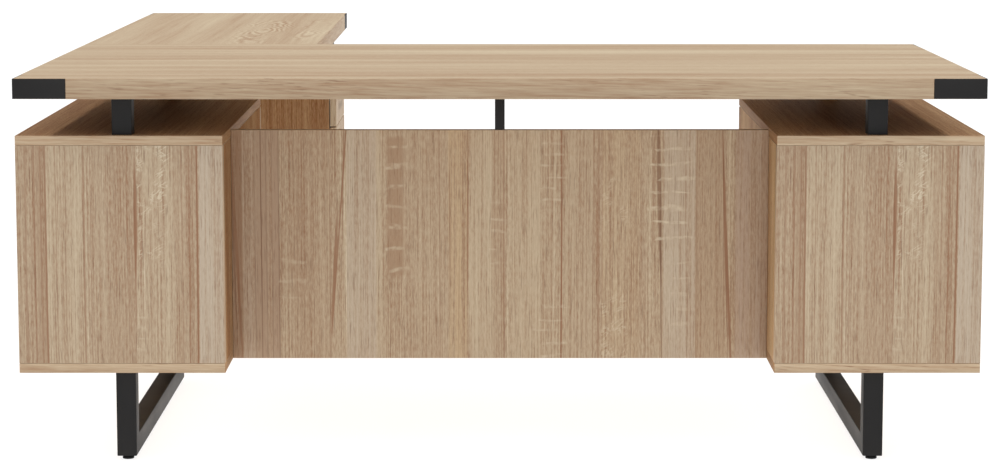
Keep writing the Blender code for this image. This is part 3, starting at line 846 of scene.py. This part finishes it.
def sled_leg(name, travel):
    """A U of square tube under a pedestal, mitred at the two bends."""
    node = name + "_sled_leg"
    low, high = (np.array(corner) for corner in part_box(node))
    opening, across = along_axis(travel)
    size = np.dot(high - low, across)
    middle = across * np.dot(low + high, across) / 2
    ends = np.dot(low, opening) + size / 2, np.dot(high, opening) - size / 2
    path = u_path(middle, opening, ends, UP, high[2], low[2] + size / 2)
    mesh = swept_mesh(name + "_sled_tube", rounded_square(size, TUBE_CORNER), path, across)
    piece(name + "_sled_tube", mesh, "desk", (BLACK,), (node,))


def standoff(name, travel, tubes_end):
    """Two short tubes under a flat bar, between a pedestal and the worktop.

    tubes_end is where the far tube ends. The bar may run on past it to carry a second worktop.
    """
    node = name + "_standoff"
    low, high = (np.array(corner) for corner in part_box(node))
    opening, across = along_axis(travel)
    size = np.dot(high - low, across)
    middle = across * np.dot(low + high, across) / 2
    shoulder = high[2] - STANDOFF_BAR
    meshes = []
    for place in (np.dot(low, opening) + size / 2, tubes_end - size / 2):
        path = [middle + opening * place + UP * low[2], middle + opening * place + UP * shoulder]
        meshes.append(swept_mesh(node, rounded_square(size, TUBE_CORNER), path, across))
    mesh = join_meshes(name + "_standoff_tubes", meshes)
    piece(name + "_standoff_tubes", mesh, "desk", (BLACK,), (node,))
    bar_low, bar_high = low.copy(), high.copy()
    bar_low[2] = shoulder
    board(name + "_standoff_bar", bar_low, bar_high, "Z", travel, "desk",
          (BLACK, BLACK), (node,), edge=BAR_EDGE)


def glides(name):
    """Levelling glides: a domed foot with a hexagonal collar and the end of its screw."""
    for end in ("back", "front"):
        node = f"{name}_glide_{end}"
        low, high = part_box(node)
        radius, tall = (high.x - low.x) / 2, high.z - low.z
        centre = ((low.x + high.x) / 2, (low.y + high.y) / 2, low.z)
        profile = np.array(GLIDE_PROFILE) * (radius, tall)
        mesh = turned_mesh(node + "_foot", [centre], "Z", profile, lobes=6,
                           lobe_rows=GLIDE_COLLAR, segments=48)
        piece(node + "_foot", mesh, node, (PLASTIC,), (node,))


def pull(name, travel):
    """A square bar pull: a shallow U with mitred corners, standing off the drawer front."""
    node = name + "_pull"
    low, high = (np.array(corner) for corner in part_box(node))
    opening, across = along_axis(travel)
    size = high[2] - low[2]
    level = UP * (low[2] + high[2]) / 2
    ends = np.dot(low, across) + size / 2, np.dot(high, across) - size / 2
    face, bar = np.dot(low, opening), np.dot(high, opening) - size / 2
    path = u_path(level, across, ends, opening, face, bar)
    mesh = swept_mesh(name + "_bar_pull", rounded_square(size, PULL_CORNER), path, UP)
    piece(name + "_bar_pull", mesh, name, (BLACK,), (node,))


def drawer(name, travel, shift):
    """A drawer: its front, the five boards of its box, its pull and the pull's two screws."""
    side = ACROSS[travel]
    opening, across = AXES[travel], AXES[side]
    low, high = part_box(name + "_front")
    board(name + "_front_board", low, high, travel, "Z", name, (BOARD_OAK, BAND),
          (name + "_front",), (shift, 0.55 * shift))
    low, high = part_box(name + "_box")
    wall = DRAWER_WALL

    def part(label, cuts, axis, grain, move):
        """A board of the box: the box's corners, with some of their numbers changed."""
        start, end = list(low), list(high)
        for place, first, last in cuts:
            start[place], end[place] = first, last
        board(f"{name}_box_{label}", start, end, axis, grain, name,
              (BOX_OAK, BOX_OAK), (name + "_box",), (shift + move, shift - move), BOX_EDGE)

    part("side_a", [(across, low[across], low[across] + wall)], side, travel, 0.3)
    part("side_b", [(across, high[across] - wall, high[across])], side, travel, 0.7)
    inside = (across, low[across] + wall, high[across] - wall)
    part("back", [inside, (opening, low[opening], low[opening] + wall)], travel, side, 1.1)
    part("front", [inside, (opening, high[opening] - wall, high[opening])], travel, side, 1.6)
    part("floor", [inside, (opening, low[opening] + wall, high[opening] - wall),
                   (2, low[2], low[2] + DRAWER_FLOOR)], "Z", travel, 2.1)
    pull(name, travel)
    pull_low, pull_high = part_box(name + "_pull")
    bar = (pull_high.z - pull_low.z) / 2
    centres = []
    for place in (pull_low[across] + bar, pull_high[across] - bar):
        centre = [0.0, 0.0, pull_low.z + bar]
        centre[across], centre[opening] = place, high[opening] - wall
        centres.append(centre)
    heads = turned_mesh(name + "_pull_screws", centres, travel, PULL_SCREW, -1)
    piece(name + "_pull_screws", heads, name, (ZINC,))


def channel(base, way, centre):
    """A runner's section: a C that opens away from the plate, as (distance from it, height)."""
    half, depth, steel = RUNNER_TALL / 2, RUNNER_SPAN - PLATE, RUNNER_STEEL
    lip = half - RUNNER_LIP
    steps = [(0, -half), (depth, -half), (depth, -lip), (depth - steel, -lip),
             (depth - steel, steel - half), (steel, steel - half), (steel, half - steel),
             (depth - steel, half - steel), (depth - steel, lip), (depth, lip), (depth, half),
             (0, half)]
    return [(base + way * a, centre + b) for a, b in steps]


def slide_rail(side, way, centre):
    """The drawer's rail, seen end on: a flange on the drawer's side and a tongue in the runner."""
    steel, flange, tongue = RAIL_STEEL, RAIL_FLANGE, RAIL_TONGUE
    steps = [(0, -flange), (steel, -flange), (steel, -tongue), (tongue, -tongue),
             (tongue, tongue), (steel, tongue), (steel, flange), (0, flange)]
    return [(side + way * a, centre + b) for a, b in steps]


def extruded(name, outline, start, end, travel, body, nodes):
    """Steel of one section along a drawer's travel. The outline is (across, height)."""
    corners = outline if travel == "X" else [(height, place) for place, height in outline]
    mesh = slab_mesh(name, corners, start, end, travel, travel, RUNNER_EDGE)
    piece(name, mesh, body, (ZINC, ZINC), nodes)


def runners(name, travel, drawers):
    """On each side: a plate with screws, a runner beside each drawer, and the drawers' rails."""
    side = ACROSS[travel]
    opening, across = AXES[travel], AXES[side]
    for end, way in (("a", 1), ("b", -1)):
        node = f"{name}_runner_plate_{end}"
        low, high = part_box(node)
        outer = low[across] if way > 0 else high[across]
        inner = outer + way * PLATE
        start, stop = list(low), list(high)
        start[across], stop[across] = sorted((outer, inner))
        board(node + "_sheet", start, stop, side, travel, "desk", (ZINC, ZINC),
              (node,), edge=PLATE_EDGE)
        centres = [low.z + PLATE_MARGIN + RUNNER_TALL / 2, high.z - PLATE_MARGIN - RUNNER_TALL / 2]
        for label, centre in zip(drawers, centres):
            extruded(f"{name}_{label}_runner_{end}", channel(inner, way, centre), low[opening],
                     high[opening], travel, "desk", (node,))
            body = f"{name}_{label}"
            box_low, box_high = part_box(body + "_box")
            face = box_low[across] if way > 0 else box_high[across]
            extruded(f"{body}_rail_{end}", slide_rail(face, -way, centre),
                     box_low[opening] + RAIL_SHORT_BACK, box_high[opening] - RAIL_SHORT_FRONT,
                     travel, body, ())
        heads = []
        for share in SCREW_PLACES:
            for level in (centres[0] + RUNNER_TALL, centres[1] - RUNNER_TALL):
                head = [0.0, 0.0, level]
                head[across] = inner
                head[opening] = low[opening] + share * (high[opening] - low[opening])
                heads.append(head)
        screws = turned_mesh(node + "_screws", heads, side, PLATE_SCREW, way, segments=20)
        piece(node + "_screws", screws, "desk", (ZINC,))


def pedestal(name, travel, shift, tubes_end):
    """Everything between a worktop and the floor at one end."""
    carcass(name, travel, shift)
    labels = ("lower_drawer", "upper_drawer")
    for count, label in enumerate(labels):
        drawer(f"{name}_{label}", travel, shift + 2.3 + 1.7 * count)
    runners(name, travel, labels)
    sled_leg(name, travel)
    standoff(name, travel, tubes_end)
    glides(name)


# ---- Studio ----

FLOOR_HALF = 60.0        # metres from the middle of the floor to its sides
FLOOR_CORNERS = 9        # corners of its squares along a side
SKY_STRENGTH = 0.30
# Name, strength, spread in degrees, source, and how the floor counts in what the sun lights and in
# what shades it: left out, or all there is.
SUNS = (
    ("soft_overhead", 0.99, 80, (0.0, -0.22, 1.0), "EXCLUDE", None),
    ("side_light_left", 1.45, 6, (-0.95, -0.12, 1.0), "EXCLUDE", None),
    ("side_light_right", 1.75, 7, (0.95, -0.12, 1.0), "EXCLUDE", None),
    ("low_front_light", 0.386, 40, (0.0, -1.0, 0.30), "EXCLUDE", None),
    ("floor_wash", 3.0, 60, (0.0, 0.0, 1.0), "INCLUDE", "INCLUDE"))
SENSOR = 36.0            # millimetres, as is the lens
LENS = 97.047
LENS_SHIFT = -0.06       # lifts the desk in the picture
FAR_LIMIT = 300.0
CAMERA_PLACE = (0.0004, -5.0346, 1.1576)  # from the middle, the desk's front and the floor
CAMERA_TILT = 83.1389    # degrees up from straight down


def studio():
    """A white floor with a light of its own, an even white sky and four suns on the desk."""
    side = np.linspace(-FLOOR_HALF, FLOOR_HALF, FLOOR_CORNERS)
    x, y = np.meshgrid(side, side, indexing="ij")
    points = np.stack((x, y, np.zeros_like(x)), axis=-1).reshape(-1, 3)
    corner = np.arange(FLOOR_CORNERS ** 2).reshape(FLOOR_CORNERS, FLOOR_CORNERS)
    quads = np.stack((corner[:-1, :-1], corner[1:, :-1], corner[1:, 1:], corner[:-1, 1:]), axis=-1)
    mesh = bpy.data.meshes.new("studio_floor")
    mesh.from_pydata(points.tolist(), [], quads.reshape(-1, 4).tolist())
    mesh.materials.append(studio_floor("studio_floor"))
    floor = bpy.data.objects.new("studio_floor", mesh)
    SCENE.collection.objects.link(floor)

    world = bpy.data.worlds.new("studio_sky")
    world.use_nodes = True
    sky = world.node_tree.nodes["Background"]
    sky.inputs["Color"].default_value = (1.0, 1.0, 1.0, 1.0)
    sky.inputs["Strength"].default_value = SKY_STRENGTH
    SCENE.world = world

    for name, energy, spread, source, receiver, blocker in SUNS:
        light = bpy.data.lights.new(name, "SUN")
        light.energy = energy
        light.angle = math.radians(spread)
        lamp = bpy.data.objects.new(name, light)
        lamp.rotation_euler = Vector(source).to_track_quat("Z", "Y").to_euler()
        SCENE.collection.objects.link(lamp)
        lamp.light_linking.receiver_collection = floor_group(name + "_lights", floor, receiver)
        if blocker:
            lamp.light_linking.blocker_collection = floor_group(name + "_shades", floor, blocker)


def floor_group(name, floor, state):
    """A light's group that takes in only the floor, or leaves out only the floor."""
    group = bpy.data.collections.new(name)
    group.objects.link(floor)
    group.collection_objects[0].light_linking.link_state = state
    return group


def camera():
    """The camera: standing visitor's height, square to the desk, tipped down a little."""
    lens = bpy.data.cameras.new("camera")
    lens.sensor_width = SENSOR
    lens.lens = LENS
    lens.shift_y = LENS_SHIFT
    lens.clip_end = FAR_LIMIT
    stand = bpy.data.objects.new("camera", lens)
    x, y, z = CAMERA_PLACE
    stand.location = (x, cad_box[0].y + y, z)
    stand.rotation_euler = (math.radians(CAMERA_TILT), 0.0, 0.0)
    SCENE.collection.objects.link(stand)
    SCENE.camera = stand
    SCENE.view_settings.view_transform = "Standard"
    SCENE.view_settings.look = "None"


worktops()
accents()
screen()
main_tubes_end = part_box("right_standoff")[1].y
pedestal("left", "Y", 0.0, main_tubes_end)
pedestal("right", "Y", 5.3, main_tubes_end)
pedestal("return", "X", 9.1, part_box("return_standoff")[1].x)
studio()
camera()
